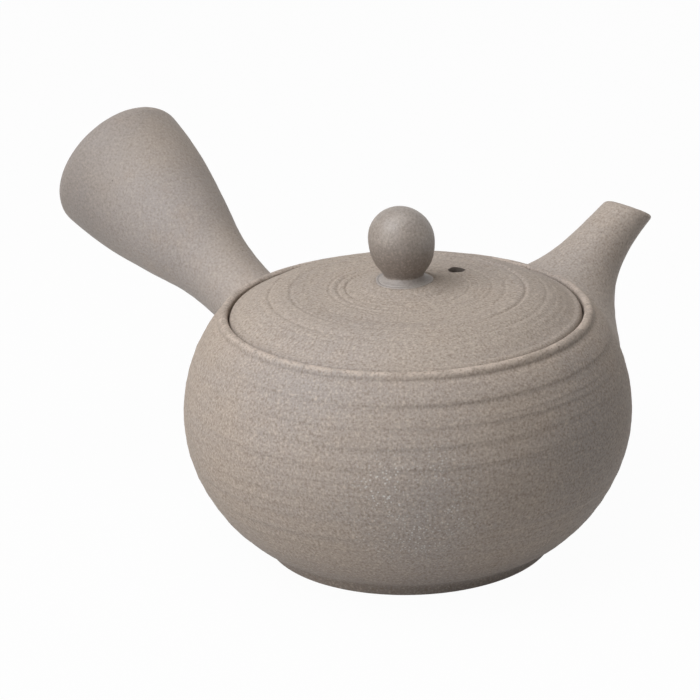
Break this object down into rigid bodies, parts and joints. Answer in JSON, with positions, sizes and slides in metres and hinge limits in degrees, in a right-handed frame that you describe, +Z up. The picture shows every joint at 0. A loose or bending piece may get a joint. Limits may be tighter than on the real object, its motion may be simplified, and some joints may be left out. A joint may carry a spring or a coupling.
{
  "type": "side-handled teapot",
  "caption": "Squat unglazed stoneware teapot with a hollow side handle, a bell-rooted spout over a pierced strainer dome, and a low lid that drops onto a ledge inside the rolled rim.",
  "frame": {"origin": "middle of the flat underside of the foot, on the pot's axis", "axes": "+Z is up along the pot's axis, the spout points along +X and the handle along +Y"},
  "size_m": [0.153, 0.1883, 0.0993],
  "materials": {
    "clay": "unglazed, matte, grey-brown with fine grit",
    "pale_slip": "slip smoothed with a wet finger, slightly paler and greyer than the clay"
  },
  "bodies": {
    "pot": {"pot_body": "clay", "spout": "clay", "strainer": "clay", "handle": "clay"},
    "lid": {"lid": "clay", "knob": "clay", "knob_slip_ring": "pale_slip"}
  },
  "joints": [
    {"name": "lid_lift", "type": "slide", "parent": "pot", "child": "lid", "axis": [0, 0, 1], "range_m": [0, 0.06]}
  ]
}
